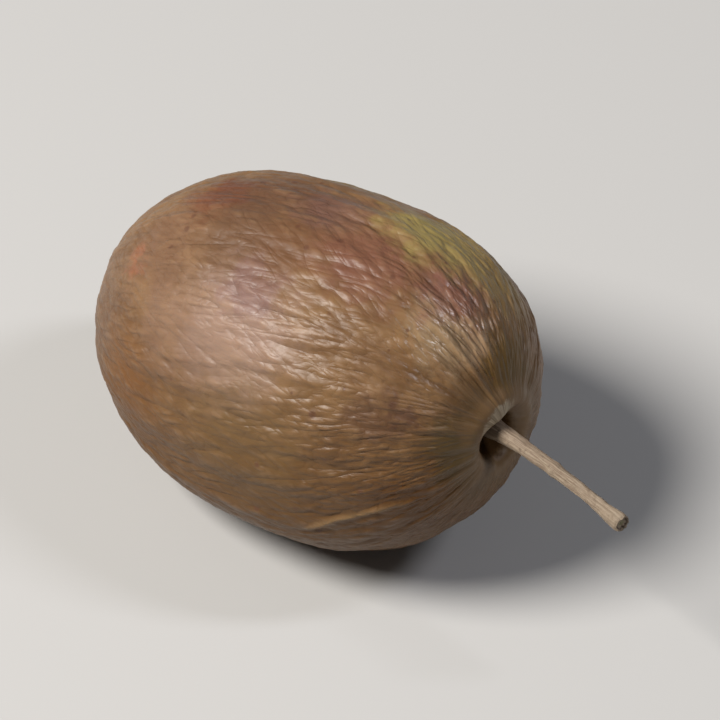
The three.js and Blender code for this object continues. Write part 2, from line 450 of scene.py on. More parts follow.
def hollowPolar(form, across, up):   # distance and turn round the stalk's hollow
    turn = math.radians(form["hollowTurn"])
    a = across - form["hollowOffset"] * math.cos(turn)
    u = up - form["hollowOffset"] * math.sin(turn)
    return np.hypot(a, u), np.arctan2(u, a)


def collarShare(form, turn):     # the upper side, where the rim stays close to the stalk
    return facingShare(turn, form["collarTurn"]) ** 2


def endRelief(form, along, across, up):
    radius, turn = hollowPolar(form, across, up)
    facing = facingShare(turn, form["lipTurn"])
    lip = form["lipHeight"] * facing * fade(radius - form["lipRadius"], form["lipWidth"])
    hollow = form["hollowDepth"] * fade(radius, form["hollowRadius"], form["hollowSteepness"])
    beside, turnBeside = np.hypot(across, up), np.arctan2(up, across)
    collar = form["collarHeight"] * fade(beside - form["collarRadius"], form["collarWidth"])
    collar = collar * collarShare(form, turnBeside)
    dent = form["dentDepth"] * fade(beside, form["dentRadius"])
    return np.where(along < 0, dent, lip - hollow + collar)


def foldLift(form, along, radius, turn):
    fullness = np.minimum(radius / form["girthRadius"], 1)
    nearStalk = np.where(along > 0, fade(radius - form["puckerRadius"], form["puckerSpread"]), 0)
    lift = np.zeros_like(along)
    for order, count in enumerate(form["foldCounts"]):
        phase = form["wanderPerMillimetre"] * along + form["wanderStep"] * order + 2 * turn
        waves = np.sin(count * turn + form["foldWander"] * np.sin(phase) + order * order)
        lift += waves / math.sqrt(count)
    return (form["foldDepth"] + form["puckerDepth"] * nearStalk) * np.sqrt(fullness) * lift


def bulgeLift(form, along, turn):
    lift = np.zeros_like(along)
    for bulge in form["bulges"]:
        facing = np.maximum(np.cos(turn - math.radians(bulge["turn"])), 0) ** 2
        lift += bulge["lift"] * facing * fade(along - bulge["along"], bulge["spread"])
    return lift


def fruitSurface(form, share, turn):     # places in the fruit's own frame, stalk end at +X
    radius, along = fruitOutline(form, share)
    fullness = np.minimum(radius / form["girthRadius"], 1)
    oval = form["ovalShare"] * np.cos(2 * (turn - math.radians(form["ovalTurn"])))
    sides = form["threeSidedShare"] * np.cos(3 * (turn - math.radians(form["threeSidedTurn"])))
    shaped = radius * (1 + oval + sides * fullness)
    shaped = shaped + bulgeLift(form, along, turn) * fullness + foldLift(form, along, radius, turn)
    shaped = shaped + creaseLift(along, radius, turn)
    across, up = shaped * np.cos(turn), shaped * np.sin(turn)
    return np.stack([along + endRelief(form, along, across, up), across, up], axis=-1)


def tilted(form, places):        # turned to the way the fruit lies
    lean = math.radians(form["lieTilt"])
    x = places[..., 0] * math.cos(lean) - places[..., 2] * math.sin(lean)
    z = places[..., 0] * math.sin(lean) + places[..., 2] * math.cos(lean)
    return np.stack([x, places[..., 1], z], axis=-1)


def centreFrom(places):          # where the fruit's own centre goes, so that it fills its node's box
    low, high = (np.array(corner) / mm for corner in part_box("berry"))
    middle = (places.min(axis=0) + places.max(axis=0)) / 2
    return np.array([
        (low[0] + high[0]) / 2 - middle[0],
        (low[1] + high[1]) / 2 - middle[1],
        high[2] - places[:, 2].max(),
    ])


def restOnFloor(form, places):   # presses the underside to the three-cornered flat spot
    corners = [np.array(corner) for corner in form["spotCorners"]]
    beyond = np.zeros(len(places))
    for corner, following in zip(corners, corners[1:] + corners[:1]):
        side = (following - corner) / np.linalg.norm(following - corner)
        outward = np.array([side[1], -side[0]])
        beyond = np.maximum(beyond, (places[:, :2] - corner) @ outward)
    ground = beyond * math.tan(math.radians(form["spotSlope"]))
    above = places[:, 2] - ground
    pressed = ground + (above + np.sqrt(above ** 2 + form["floorSoftness"] ** 2)) / 2
    return np.column_stack([places[:, :2], pressed]), above


# The kinds of folds: how drawn out and slanted along the fruit, and how much painted shade darkens their
# grooves
foldKinds = {
    "Furrow": {"stretch": 5.0, "slant": 0.1, "seed": 0.0, "dark": 0.1},
    "Wrinkle": {"stretch": 3.6, "slant": 0.22, "seed": 7.0, "dark": 0.28},
    "Crossing": {"stretch": 3.4, "slant": -0.45, "seed": 3.0, "dark": 0.15},
    "Net": {"stretch": 1.6, "slant": 0.0, "seed": 13.0, "dark": 0.2},
    "Pucker": {"stretch": 9.0, "slant": 0.0, "seed": 21.0, "dark": 0.3},
}
foldSharpness = {"mesh": 3.4, "finish": 7.0}     # the finish carries the fine edge of each groove


def wrinkleLayer(kind):          # one layer of folds, alike in the mesh's tree and in the skin's finish
    inputs = {"Flow": "Vector", "Around": 60.0, "Stretch": 6.0, "Slant": 0.0, "Waviness": 0.5,
              "Sharpness": 4.0, "Seed": 0.0}
    tree, given, result = newTree("wrinkle layer", kind, inputs, {"Height": "Float"})
    length = addNode(tree, "ShaderNodeSeparateXYZ", {0: given["Flow"]}).outputs["Z"]
    turned = addNode(tree, "ShaderNodeVectorRotate",
                     {"Vector": given["Flow"], "Angle": times(tree, length, given["Slant"])},
                     rotation_type="Z_AXIS").outputs["Vector"]
    squeeze = combine(tree, 1.0, 1.0, calc(tree, "DIVIDE", 1.0, given["Stretch"]))
    strands = scaleBy(tree, turned, calc(tree, "DIVIDE", given["Around"], fullTurn))
    strands = vectorCalc(tree, "MULTIPLY", strands, squeeze)
    drift = noise(tree, strands, 0.4, given["Seed"], detail=1.0).outputs["Color"]
    drift = vectorCalc(tree, "SUBTRACT", drift, (0.5, 0.5, 0.5))
    drift = scaleBy(tree, drift, times(tree, given["Waviness"], 3.0))
    strands = vectorCalc(tree, "ADD", strands, drift)
    ridges = noise(tree, strands, 1.0, given["Seed"], detail=1.0, roughness=0.4).outputs["Fac"]
    fold = calc(tree, "ABSOLUTE", minus(tree, ridges, 0.5))
    fold = calc(tree, "MINIMUM", times(tree, fold, given["Sharpness"]), 1.0)
    feed(tree, result["Height"], calc(tree, "POWER", fold, 0.7))
    return tree


def foldHeights(tree, sizes, sharpness):     # each kind's height and where it is found
    layer = wrinkleLayer(tree.bl_idname)
    flow = readAttribute(tree, "flow", "FLOAT_VECTOR")
    away = minus(tree, 1.0, readAttribute(tree, "nearEnd"))
    patches = noise(tree, flow, 2.2, sizes["Seed"]).outputs["Fac"]
    patchy = times(tree, ramp(tree, patches, 0.3, 0.7, 0.55, 1.0), away)
    crossed = times(tree, ramp(tree, patches, 0.3, 0.7, 1.0, 0.35), away)
    shares = {"Furrow": away, "Wrinkle": patchy, "Crossing": crossed, "Net": patchy,
              "Pucker": readAttribute(tree, "gathered")}
    found = {}
    for kind, fold in foldKinds.items():
        values = {"Flow": flow, "Around": sizes[kind + "s Around"], "Stretch": fold["stretch"],
                  "Slant": fold["slant"], "Waviness": sizes["Waviness"], "Sharpness": sharpness,
                  "Seed": plus(tree, sizes["Seed"], fold["seed"])}
        found[kind] = (useGroup(tree, layer, values)["Height"], shares[kind])
    return found


def wrinkledSkinTree():          # lifts the skin by its layers of folds
    tree, given, result = newShapeTree("wrinkled skin", skinRelief, "Skin")
    usualHeight = 0.5            # the folds' mean height, so that the fruit keeps its size
    lift = 0.0
    for kind, (height, share) in foldHeights(tree, given, foldSharpness["mesh"]).items():
        depth = times(tree, given[kind + " Depth"], share)
        lift = plus(tree, lift, times(tree, minus(tree, height, usualHeight), depth))
    lift = times(tree, lift, readAttribute(tree, "calm"))
    endTree(tree, result, liftSurface(tree, given["Geometry"], lift), given["Skin"])
    return tree


def within(distance, zone):      # 1 inside a zone of the skin, 0 beyond it
    return 1 - smoothStep(distance, *skinZones[zone])


def fruitMarks(form, share, turn, own, above):   # what the folds and the finish go by at each point
    radius, along = fruitOutline(form, share)
    fromHollow = hollowPolar(form, own[:, 1], own[:, 2])[0]
    beside, turnBeside = np.hypot(own[:, 1], own[:, 2]), np.arctan2(own[:, 2], own[:, 1])
    upper = collarShare(form, turnBeside)
    gathering = 0.2 + 0.8 * facingShare(turn, form["gatherTurn"]) ** 4
    shaded = np.maximum(np.cos(turn - math.radians(form["shadeTurn"])), 0)
    crest = fade(beside - skinZones["crestOff"], skinZones["crestWidth"])
    gathered = fade(radius - skinZones["gatheredOff"], skinZones["gatheredWidth"])
    atStalk = along > 0
    mouth = np.where(atStalk, within(fromHollow, "mouth"), 0)
    tip = np.where(atStalk, 0, within(radius, "tip"))
    length = np.arcsin(np.clip(along / form["blossomHalf"], -1, 1)) * 1.2
    return {
        "flow": np.column_stack([np.cos(turn), np.sin(turn), length]),
        "calm": smoothStep(above, 0.1, 1.6) * (1 - 0.45 * mouth) * (1 - 0.7 * tip),
        "nearEnd": np.where(atStalk, within(radius, "nearStalk"), 0.7 * within(radius, "nearBlossom")),
        "gathered": np.where(atStalk, gathered, 0) * gathering,
        # painted highlight: a pale line along the raised crease
        "creaseHighlight": creaseHighlightLine(along, radius, turn),
        # painted shade: darker and browner on the lower front side
        "shade": shaded * smoothStep(radius, 1, 6),
        # darker olive at the stalk end: partly its own colour, partly painted shade, more of it on the
        # lower side
        "stalkEnd": np.where(atStalk, within(radius, "stalkEnd"), 0) * (1.1 - 0.3 * gathering),
        # pale rim on the hollow's upper side only: partly corky skin, partly painted highlight
        "corkAndHighlight": np.where(atStalk, crest, 0) * upper ** 1.5,
        # painted shade deep in the hollow, away from the upper side
        "deep": np.where(atStalk, within(fromHollow, "deep"), 0) * (1 - upper),
        "tip": tip,
    }


def buildFruit(form, centre, skin):
    share, turn = ringParameters(form["rows"], form["columns"])
    own = fruitSurface(form, share, turn)
    places, above = restOnFloor(form, tilted(form, own) + centre)
    marks = fruitMarks(form, share, turn, own, above)
    item = skinObject("fruitSkin", places, ringFaces(form["rows"], form["columns"]), marks)
    applyTree(item, wrinkledSkinTree(), {**skinRelief, "Skin": skin})
    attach(item, "root")
    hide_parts("berry")
    print("fruit:", len(item.data.polygons), "faces")


def fruitPoint(form, centre, along, turn):   # a place on the skin, by its distance along and turn
    shares = np.linspace(0.01, 0.99, 400)
    _, reach = fruitOutline(form, shares)
    share = np.interp(along, reach, shares)
    own = fruitSurface(form, np.array([share]), np.array([math.radians(turn)]))
    return (tilted(form, own) + centre)[0]


# Shader groups that the finishes share

def fineGrainGroup():            # two sizes of grain, one stretched along the piece
    inputs = {"Place": "Vector", "Flow": "Vector", "Grain Scale": 4.0, "Strand Scale": 20.0, "Seed": 0.0}
    outputs = {"Grain": "Float", "Strands": "Float"}
    tree, given, result = newTree("fine grain", "ShaderNodeTree", inputs, outputs)
    seed = given["Seed"]
    grain = noise(tree, given["Place"], given["Grain Scale"], seed, detail=4.0, roughness=0.6)
    strands = noise(tree, given["Flow"], given["Strand Scale"], seed, detail=3.0, roughness=0.55)
    feed(tree, result["Grain"], grain.outputs["Fac"])
    feed(tree, result["Strands"], strands.outputs["Fac"])
    return tree


def softPatchGroup():            # a patch round a centre with a soft edge
    inputs = {"Place": "Vector", "Centre": "Vector", "Reach": 3.0, "Softness": 0.6}
    tree, given, result = newTree("soft patch", "ShaderNodeTree", inputs, {"Mask": "Float"})
    away = vectorCalc(tree, "DISTANCE", given["Place"], given["Centre"])
    share = calc(tree, "DIVIDE", away, given["Reach"])
    inner = minus(tree, 1.0, given["Softness"])
    outer = plus(tree, 1.0, given["Softness"])
    feed(tree, result["Mask"], ramp(tree, share, inner, outer, 1.0, 0.0))
    return tree


def speckGroup():                # small scattered specks, some of the cells left empty
    inputs = {"Place": "Vector", "Per Millimetre": 0.8, "Size": 0.14, "Fullness": 0.5}
    tree, given, result = newTree("specks", "ShaderNodeTree", inputs, {"Mask": "Float"})
    sockets = {"Vector": given["Place"], "Scale": given["Per Millimetre"]}
    cells = addNode(tree, "ShaderNodeTexVoronoi", sockets)
    pick = addNode(tree, "ShaderNodeSeparateColor", {"Color": cells.outputs["Color"]})
    present = calc(tree, "LESS_THAN", pick.outputs["Red"], given["Fullness"])
    size = times(tree, given["Size"], plus(tree, 0.5, pick.outputs["Green"]))
    spot = ramp(tree, cells.outputs["Distance"], times(tree, size, 0.5), size, 1.0, 0.0)
    feed(tree, result["Mask"], times(tree, spot, present))
    return tree


groups = {"grain": fineGrainGroup(), "patch": softPatchGroup(), "specks": speckGroup()}


def fineGrain(tree, place, flow, grainScale, strandScale, seed):
    values = {"Place": place, "Flow": flow, "Grain Scale": grainScale, "Strand Scale": strandScale,
              "Seed": seed}
    return useGroup(tree, groups["grain"], values)


def patchMask(tree, place, spot, reach, softness):
    values = {"Place": place, "Centre": tuple(spot), "Reach": reach, "Softness": softness}
    return useGroup(tree, groups["patch"], values)["Mask"]


def newFinish(name):
    material = bpy.data.materials.new(name)
    material.use_nodes = True
    tree = material.node_tree
    tree.nodes.clear()
    surface = addNode(tree, "ShaderNodeBsdfPrincipled")
    addNode(tree, "ShaderNodeOutputMaterial", {"Surface": surface.outputs["BSDF"]})
    place = addNode(tree, "ShaderNodeTexCoord").outputs["Object"]
    return material, tree, surface.inputs, scaleBy(tree, place, 1 / mm)


# Skin finish

# Skin colours. Painted shade: the shade tone, the hollow's dark tone and the groove tone in the fold
# valleys; the stalk end's olive is partly painted shade. Painted light: the crest tone on the fold
# ridges and the pale crease line. The pale rim tone is partly corky skin, partly painted highlight.
skinLook = {
    "tan": "#7d5f40", "brown": "#6c4f33", "umber": "#563b22", "crest": "#97785a", "groove": "#452a12",
    "shade": "#52350e", "stalkEnd": "#3f2f08", "creaseHighlight": "#8f7450", "speck": "#553629", "tip": "#4f3a26",
    "corkAndHighlight": "#a3957f", "corkDark": "#766650", "hollow": "#352312",
    # how far each tone covers what is under it
    "umberShare": 0.2, "crestShare": 0.22, "grooveShare": 0.55, "shadeShare": 0.8, "stalkEndShare": 0.65,
    "creaseHighlightShare": 0.6, "speckShare": 0.6, "tipShare": 0.85, "hollowShare": 0.9, "tintShare": 0.8,
    "roughness": (0.39, 0.49), "shine": 0.2, "dullness": 0.3,
    "edgeShare": 0.4, "grainDepth": 0.03,        # how far the finish sharpens the folds, and its grain
    "glow": 0.08, "glowReach": (1.4, 0.6, 0.25), "refraction": 1.4,    # light inside the skin
}

# Tints of the ripe skin, some of them painted shade and painted highlight: distance along the fruit,
# turn, reach, colour and strength
skinTints = [
    # partly the skin's own orange, partly painted shade: darker at the left edge
    (-8.0, 176, 3.2, "#7c4c1e", 0.65),
    (-7.4, 198, 3.0, "#63401a", 0.6),
    # painted shade on the upper side
    (-2.0, 90, 4.6, "#5a4334", 0.45),
    (-7.6, 116, 2.8, "#765948", 0.55),
    (-9.0, 124, 0.9, "#94583c", 0.55),
    (-6.4, 88, 2.0, "#6a3022", 0.65),
    (-3.4, 80, 2.8, "#5c3e30", 0.6),
    (-11.0, 156, 2.8, "#5e493c", 0.6),
    # painted shade above the highlight
    (-2.6, 110, 2.8, "#6a4f3e", 0.5),
    # pale pinkish skin where the highlight sits: partly the skin's lilac bloom, partly painted highlight
    (0.4, 136, 3.8, "#a38a7e", 0.65),
    (-4.6, 142, 2.6, "#8c7060", 0.5),
    # the purple spot and the brown beside it, darkened: partly their own colour, partly painted shade
    (0.3, 120, 1.9, "#684950", 0.5),
    (1.2, 100, 2.6, "#684630", 0.6),
    (1.0, 76, 2.2, "#6b4c4c", 0.5),
    (5.4, 92, 2.7, "#6f453c", 0.75),
    (6.2, 58, 2.9, "#978b52", 0.8),
    (8.9, 44, 3.0, "#96814f", 0.65),
    # painted highlight: pale patches where glints sit near the stalk
    (11.0, 94, 2.2, "#a89172", 0.65),
    (12.1, 82, 1.3, "#b89a7c", 0.6),
    (9.8, 78, 2.0, "#774b48", 0.65),
    (12.9, 52, 1.7, "#5a4408", 0.75),
    (12.9, 172, 1.7, "#4a4522", 0.6),
    (11.0, 202, 2.8, "#6b3c10", 0.75),
    (6.0, 208, 3.0, "#68441a", 0.5),
    (2.0, 178, 4.2, "#6c5a36", 0.5),
    (9.6, 150, 1.5, "#49302a", 0.65),
    (11.2, 145, 0.9, "#3e2528", 0.65),
    (5.8, 146, 2.0, "#775b38", 0.35),
    (-3.0, 20, 4.5, "#74703c", 0.5),
    (-8.0, 300, 4.0, "#805032", 0.5),
    (3.0, 330, 4.5, "#664648", 0.5),
    (9.0, 300, 3.2, "#6e6234", 0.5),
    (-1.0, 255, 4.0, "#604444", 0.45),
]

# Places where the skin is tighter and glossier: distance along the fruit, turn and reach
shineSpots = [
    (11.2, 92, 3.4),
]


def foldTones(tree):             # how dark the painted shade in the grooves is and how high the folds stand, in millimetres
    groove, edges = 0.0, 0.0
    for kind, (height, share) in foldHeights(tree, skinRelief, foldSharpness["finish"]).items():
        low = times(tree, minus(tree, 1.0, height), share)
        groove = plus(tree, groove, times(tree, low, foldKinds[kind]["dark"]))
        depth = times(tree, share, skinRelief[kind + " Depth"] / mm)
        edges = plus(tree, edges, times(tree, height, depth))
    return groove, edges


def tintedSkin(tree, look, tints, place, strands, centre):   # brown mottled skin with its tints, some of them painted light and shade
    mottle = noise(tree, place, 0.45, 5.0, detail=3.0, roughness=0.55).outputs["Fac"]
    colour = mixColour(tree, ramp(tree, mottle, 0.35, 0.65), paint(look["brown"]), paint(look["tan"]))
    streaks = ramp(tree, strands, 0.45, 0.75, 0.0, look["umberShare"])
    streaks = times(tree, streaks, minus(tree, 1.0, readAttribute(tree, "nearEnd")))
    colour = mixColour(tree, streaks, colour, paint(look["umber"]))
    warp = noise(tree, place, 0.8, 9.0, detail=3.0, roughness=0.6).outputs["Color"]
    warp = scaleBy(tree, vectorCalc(tree, "SUBTRACT", warp, (0.5, 0.5, 0.5)), 5.0)
    warped = vectorCalc(tree, "ADD", place, warp)
    for along, turn, reach, tint, strength in tints:
        mask = patchMask(tree, warped, fruitPoint(fruit, centre, along, turn), reach, 0.55)
        colour = mixColour(tree, times(tree, mask, strength * look["tintShare"]), colour, paint(tint))
    return colour


def makeSkin(look, tints, centre):
    material, tree, surface, place = newFinish("ripe wrinkled skin")
    flow = readAttribute(tree, "flow", "FLOAT_VECTOR")
    corkAndHighlight = readAttribute(tree, "corkAndHighlight")
    tip = readAttribute(tree, "tip")
    calm = readAttribute(tree, "calm")
    squeezed = vectorCalc(tree, "MULTIPLY", flow, (1.0, 1.0, 0.2))
    fine = fineGrain(tree, place, squeezed, 3.2, 20.0, 2.0)
    groove, edges = foldTones(tree)
    groove = times(tree, groove, calm)

    colour = tintedSkin(tree, look, tints, place, fine["Strands"], centre)
    # painted shade on the lower front side, darker olive at the stalk end that is partly painted shade,
    # and a painted highlight along the raised crease
    for label in ("shade", "stalkEnd", "creaseHighlight"):
        mask = times(tree, readAttribute(tree, label), look[label + "Share"])
        colour = mixColour(tree, mask, colour, paint(look[label]))
    # paler fold ridges are painted light, darker fold grooves painted shade
    crest = ramp(tree, groove, 0.2, 0.0, 0.0, look["crestShare"])
    colour = mixColour(tree, crest, colour, paint(look["crest"]))
    dark = ramp(tree, groove, 0.2, 0.8, 0.0, look["grooveShare"])
    colour = mixColour(tree, dark, colour, paint(look["groove"]))
    speckValues = {"Place": place, "Per Millimetre": 0.75, "Size": 0.15, "Fullness": 0.4}
    specks = useGroup(tree, groups["specks"], speckValues)["Mask"]
    colour = mixColour(tree, times(tree, specks, look["speckShare"]), colour, paint(look["speck"]))

    unevenness = times(tree, minus(tree, fine["Grain"], 0.5), 1.1)
    # pale rim round the hollow's upper side: partly corky skin, partly painted highlight
    corkStrands = ramp(tree, fine["Strands"], 0.4, 0.62)
    corky = mixColour(tree, corkStrands, paint(look["corkDark"]), paint(look["corkAndHighlight"]))
    colour = mixColour(tree, ramp(tree, plus(tree, corkAndHighlight, unevenness), 0.3, 0.75), colour, corky)
    # painted shade deep in the hollow
    deep = readAttribute(tree, "deep")
    cavityShade = plus(tree, deep, times(tree, unevenness, 0.6))
    cavityShade = ramp(tree, cavityShade, 0.05, 0.55, 0.0, look["hollowShare"])
    colour = mixColour(tree, cavityShade, colour, paint(look["hollow"]))
    tipMask = ramp(tree, tip, 0.35, 0.95, 0.0, look["tipShare"])
    colour = mixColour(tree, tipMask, colour, paint(look["tip"]))
    feed(tree, surface["Base Color"], colour)

    rough = ramp(tree, fine["Grain"], 0.3, 0.7, *look["roughness"])
    for along, turn, reach in shineSpots:
        mask = patchMask(tree, place, fruitPoint(fruit, centre, along, turn), reach, 0.6)
        rough = minus(tree, rough, times(tree, mask, look["shine"]))
    dull = calc(tree, "MAXIMUM", calc(tree, "MAXIMUM", corkAndHighlight, tip), times(tree, cavityShade, 1.8))
    feed(tree, surface["Roughness"], plus(tree, rough, times(tree, dull, look["dullness"])))
    feed(tree, surface["Specular IOR Level"], ramp(tree, deep, 0.1, 0.46, 0.5, 0.0))

    grain = plus(tree, times(tree, fine["Grain"], 0.5), times(tree, fine["Strands"], 0.5))
    relief = times(tree, edges, times(tree, calm, look["edgeShare"]))
    relief = plus(tree, relief, times(tree, grain, look["grainDepth"]))
    bump = addNode(tree, "ShaderNodeBump", {"Height": relief, "Strength": 1.0, "Distance": mm})
    feed(tree, surface["Normal"], bump.outputs["Normal"])
    feed(tree, surface["Subsurface Weight"], look["glow"])
    feed(tree, surface["Subsurface Radius"], look["glowReach"])
    feed(tree, surface["Subsurface Scale"], mm)
    feed(tree, surface["IOR"], look["refraction"])
    return material


# Stalk: bent, fibrous, with a node and a cut end

stalk = {
    "rows": 300, "columns": 72,
    "lean": (0.984, -0.152, 0.03), "bow": 0.3, "rise": 0.25, "seat": 0.3,
    "footReach": 1.3,            # how far the foot goes on down into the hollow
    "profile": [                 # distance along the stalk, and its radius there
        (0.0, 0.45), (0.15, 0.6), (0.45, 0.66), (0.9, 0.6), (1.5, 0.53), (2.4, 0.47), (4.2, 0.41),
        (5.3, 0.4), (5.8, 0.47), (6.3, 0.41), (8.2, 0.38), (10.0, 0.42), (10.9, 0.53), (11.35, 0.54),
        (11.5, 0.44),
    ],
    "endShare": 0.06,            # the share of the rows that cross the cut end
    "endDish": 0.12,
}

stalkRelief = {
    "Ribs Around": 15.0, "Rib Depth": 0.055 * mm, "Fibres Around": 44.0, "Fibre Depth": 0.022 * mm,
    "Lump Size": 0.9 * mm, "Lump Depth": 0.05 * mm, "Seed": 3.0,
}

stalkLook = {
    "bark": "#715f4e", "pale": "#8f806d", "dark": "#4d3c2f", "pith": "#757050", "foot": "#5d4936",
}


def stalkTree():                 # lengthwise ribs and fibres, and small lumps
    tree, given, result = newShapeTree("fibrous stalk", stalkRelief, "Bark")
    flow = readAttribute(tree, "flow", "FLOAT_VECTOR")
    swing = 4.0                  # a noise strays about a quarter to each side of a half
    lift = 0.0
    for kind, plural, seed in (("Rib", "Ribs", 0.0), ("Fibre", "Fibres", 5.0)):
        strands = scaleBy(tree, flow, calc(tree, "DIVIDE", given[plural + " Around"], fullTurn))
        ridges = noise(tree, strands, 1.0, plus(tree, given["Seed"], seed), detail=2.0).outputs["Fac"]
        height = times(tree, given[kind + " Depth"], swing)
        lift = plus(tree, lift, times(tree, minus(tree, ridges, 0.5), height))
    place = addNode(tree, "GeometryNodeInputPosition").outputs["Position"]
    lumpsPerMetre = calc(tree, "DIVIDE", 1.0, given["Lump Size"])
    lumps = noise(tree, place, lumpsPerMetre, given["Seed"]).outputs["Fac"]
    lumps = times(tree, minus(tree, lumps, 0.5), times(tree, given["Lump Depth"], swing))
    lift = times(tree, plus(tree, lift, lumps), readAttribute(tree, "bark"))
    endTree(tree, result, liftSurface(tree, given["Geometry"], lift), given["Bark"])
    return tree


def stalkPlacement(form, fruitForm, centre):     # from its own frame, +Y along it, into place
    tilt = Matrix.Rotation(-math.radians(fruitForm["lieTilt"]), 4, "Y")
    leanOnAxis = Matrix.Rotation(math.radians(fruitForm["lieTilt"]), 4, "Y") @ Vector(form["lean"])
    turned = Vector((0, 1, 0)).rotation_difference(leanOnAxis.normalized()).to_matrix().to_4x4()
    hollowFloor = fruitForm["stalkHalf"] - fruitForm["hollowDepth"]
    foot = Matrix.Translation((hollowFloor + form["rise"] + form["seat"], 0, 0))
    return Matrix.Translation(centre) @ tilt @ foot @ turned


def smoothProfile(points, steps):    # an even curve through the listed points
    reach = np.array([p[0] for p in points])
    radius = np.array([p[1] for p in points])
    fine = np.linspace(reach[0], reach[-1], 40 * len(points))
    plain = np.interp(fine, reach, radius)
    kernel = np.hanning(17)
    padded = np.pad(plain, 8, mode="edge")
    return np.interp(steps, fine, np.convolve(padded, kernel / kernel.sum(), mode="valid"))


def buildStalk(form, fruitForm, centre, bark):
    share, turn = ringParameters(form["rows"], form["columns"])
    length = form["profile"][-1][0]
    bodyShare = 1 - form["endShare"]
    onEnd = np.clip((share - bodyShare) / form["endShare"], 0, 1)
    reach = -form["footReach"] + (length + form["footReach"]) * np.minimum(share / bodyShare, 1)
    radius = smoothProfile(form["profile"], np.maximum(reach, 0))
    radius = radius * np.where(share < 0.01, share / 0.01, 1) ** 0.5
    radius = radius * (1 - onEnd) ** 0.8
    cutRim = 0.05 * np.sin(3 * turn + 0.7) + 0.04 * np.sin(7 * turn)
    dish = form["endDish"] * np.sin(math.pi * np.minimum(onEnd, 0.5))
    reach = reach + np.where(onEnd > 0, cutRim * (1 - onEnd) - dish, 0)
    bowed = form["bow"] * np.sin(math.pi * np.clip(reach / length, 0, 1))
    own = [radius * np.sin(turn), reach, radius * np.cos(turn) + bowed, np.ones_like(reach)]
    places = np.column_stack(own) @ np.array(stalkPlacement(form, fruitForm, centre)).T
    attributes = {
        "flow": np.column_stack([np.cos(turn), np.sin(turn), reach * 0.12]),
        "bark": 1 - onEnd,
        "reach": np.clip(reach / length, 0, 1),
        "core": onEnd,
    }
    item = skinObject("stalkRod", places[:, :3], ringFaces(form["rows"], form["columns"]), attributes)
    applyTree(item, stalkTree(), {**stalkRelief, "Bark": bark})
    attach(item, "root")
    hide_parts("stalk")
    print("stalk:", len(item.data.polygons), "faces")


def makeBark(look):
    material, tree, surface, place = newFinish("dry stalk bark")
    flow = readAttribute(tree, "flow", "FLOAT_VECTOR")
    reach = readAttribute(tree, "reach")
    core = readAttribute(tree, "core")
    fine = fineGrain(tree, place, flow, 3.0, 7.0, 6.0)
    strands = ramp(tree, fine["Strands"], 0.35, 0.65)
    colour = mixColour(tree, strands, paint(look["bark"]), paint(look["pale"]))
    for source, low, high, most, tone in (    # where each tone begins and is fullest, from bark to pith
        (fine["Grain"], 0.52, 0.75, 0.7, "dark"),
        (reach, 0.22, 0.0, 0.8, "foot"),
        (reach, 0.6, 1.0, 0.5, "pale"),
        (core, 0.05, 0.25, 0.9, "dark"),
        (core, 0.25, 0.5, 0.9, "pale"),
        (core, 0.6, 0.85, 0.9, "pith"),
    ):
        colour = mixColour(tree, ramp(tree, source, low, high, 0.0, most), colour, paint(look[tone]))
    feed(tree, surface["Base Color"], colour)
    feed(tree, surface["Roughness"], ramp(tree, fine["Grain"], 0.3, 0.7, 0.6, 0.85))
    relief = plus(tree, fine["Grain"], fine["Strands"])
    bump = addNode(tree, "ShaderNodeBump", {"Height": relief, "Strength": 1.0, "Distance": 0.04 * mm})
    feed(tree, surface["Normal"], bump.outputs["Normal"])
    return material


# Dried styles: a small disc with curling threads

styles = {
    "rows": 26, "columns": 60, "discRadius": 0.75, "discHeight": 0.45, "seat": 0.3,
    "rootReach": 0.45,           # how far the disc's foot goes on into the dent
    "dish": 0.22,                # how far its face is sunk in the middle
}

tuftShape = {
    "Threads": 30, "Disc Radius": 0.62 * mm, "Least Length": 0.9 * mm, "Greatest Length": 1.45 * mm,
    "Thickness": 0.075 * mm, "Splay": 1.0, "Curl": 0.55 * mm, "Seed": 5,
}

styleLook = {"dark": "#33241a", "brown": "#5a4230", "tipColour": "#8a7050"}


def storeNumber(tree, geometry, name, value):
    sockets = {"Geometry": geometry, "Name": name, "Value": value}
    node = addNode(tree, "GeometryNodeStoreNamedAttribute", sockets, data_type="FLOAT", domain="POINT")
    return node.outputs["Geometry"]


def randomNumber(tree, least, greatest, index, seed):
    sockets = {2: least, 3: greatest, "ID": index, "Seed": seed}
    return addNode(tree, "FunctionNodeRandomValue", sockets, data_type="FLOAT").outputs[1]


